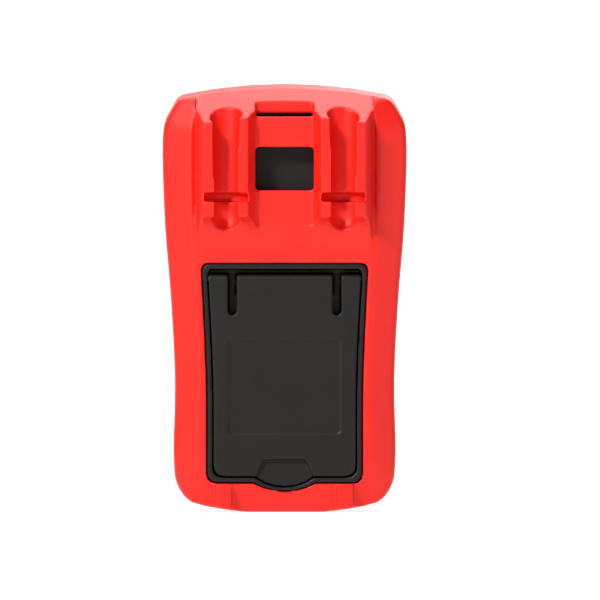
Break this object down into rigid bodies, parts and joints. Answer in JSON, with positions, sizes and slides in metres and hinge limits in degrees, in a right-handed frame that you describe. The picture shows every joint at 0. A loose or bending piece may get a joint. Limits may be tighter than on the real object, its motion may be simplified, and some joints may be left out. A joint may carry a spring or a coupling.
{
  "type": "handheld electrical tester",
  "caption": "Palm-size electrical tester in a waisted protective holster, with probe holders, strap bar and tilt stand on the back, display, keys and selector on the front.",
  "frame": {"origin": "centre of the bounding box's underside, on the base end the tester stands on", "axes": "+Z runs along the tester from its base to its display end, -Y is the back with the stand, +Y is the display face, +X is to the right when the back is looked at"},
  "size_m": [0.0764, 0.046, 0.134],
  "materials": {
    "red_holster": "moulded, satin",
    "dark_case": "moulded, fine texture",
    "dark_stand": "moulded, fine texture",
    "clear_window": "clear moulding, gloss",
    "overlay_film": "printed film, satin",
    "circuit_laminate": "solder mask over glass laminate",
    "steel_screw": "zinc plated",
    "cell_jacket": "shrink jacket",
    "nickel_contact": "nickel plated spring steel",
    "white_moulding": "moulded",
    "display_glass": "polarised glass",
    "silicone_strip": "moulded",
    "black_component": "moulded epoxy",
    "fuse_ceramic": "glazed",
    "brass_contact": "stamped or turned",
    "dark_knob": "moulded, satin",
    "grey_key": "moulded silicone",
    "dark_collar": "moulded",
    "red_collar": "moulded"
  },
  "bodies": {
    "root": {"holster": "red_holster", "rear_housing": "dark_case", "front_housing": "dark_case", "battery_door": "dark_case", "display_window": "clear_window", "face_overlay": "overlay_film", "circuit_board": "circuit_laminate", "battery_door_screw": "steel_screw", "battery_cell_left": "cell_jacket", "battery_cell_right": "cell_jacket", "coil_contact_left": "nickel_contact", "coil_contact_right": "nickel_contact", "contact_plate_left": "nickel_contact", "contact_plate_right": "nickel_contact", "contact_plate_link": "nickel_contact", "lcd_frame": "white_moulding", "lcd_glass": "display_glass", "lcd_backlight": "white_moulding", "contact_strip_upper": "silicone_strip", "contact_strip_lower": "silicone_strip", "buzzer": "black_component", "measuring_chip": "black_component", "fuse": "fuse_ceramic", "fuse_clip_lower": "brass_contact", "fuse_clip_upper": "brass_contact", "key_switch_1": "black_component", "key_switch_2": "black_component", "key_switch_3": "black_component", "key_switch_4": "black_component", "case_screw_1": "steel_screw", "case_screw_2": "steel_screw", "case_screw_3": "steel_screw", "case_screw_4": "steel_screw", "jack_collar_amp": "red_collar", "jack_sleeve_amp": "brass_contact", "jack_collar_com": "dark_collar", "jack_sleeve_com": "brass_contact", "jack_collar_volt": "red_collar", "jack_sleeve_volt": "brass_contact"},
    "stand": {"tilt_stand": "dark_stand"},
    "selector": {"selector_knob": "dark_knob", "wiper_carrier": "white_moulding", "detent_ball": "steel_screw", "detent_spring": "steel_screw", "wiper_1": "brass_contact", "wiper_2": "brass_contact"},
    "key_1": {"key_1": "grey_key"},
    "key_2": {"key_2": "grey_key"},
    "key_3": {"key_3": "grey_key"},
    "key_4": {"key_4": "grey_key"}
  },
  "joints": [
    {"name": "stand_hinge", "type": "hinge", "parent": "root", "child": "stand", "pos_m": [0, -0.0137, 0.0728], "axis": [-1, 0, 0], "range_deg": [0, 60]},
    {"name": "selector_turn", "type": "hinge", "parent": "root", "child": "selector", "pos_m": [0, 0.02, 0.0485], "axis": [0, -1, 0], "range_deg": [0, 270]},
    {"name": "key_1_press", "type": "slide", "parent": "root", "child": "key_1", "axis": [0, -1, 0], "range_m": [0, 0.0008], "stiffness_N_per_m": 1500},
    {"name": "key_2_press", "type": "slide", "parent": "root", "child": "key_2", "axis": [0, -1, 0], "range_m": [0, 0.0008], "stiffness_N_per_m": 1500},
    {"name": "key_3_press", "type": "slide", "parent": "root", "child": "key_3", "axis": [0, -1, 0], "range_m": [0, 0.0008], "stiffness_N_per_m": 1500},
    {"name": "key_4_press", "type": "slide", "parent": "root", "child": "key_4", "axis": [0, -1, 0], "range_m": [0, 0.0008], "stiffness_N_per_m": 1500}
  ]
}
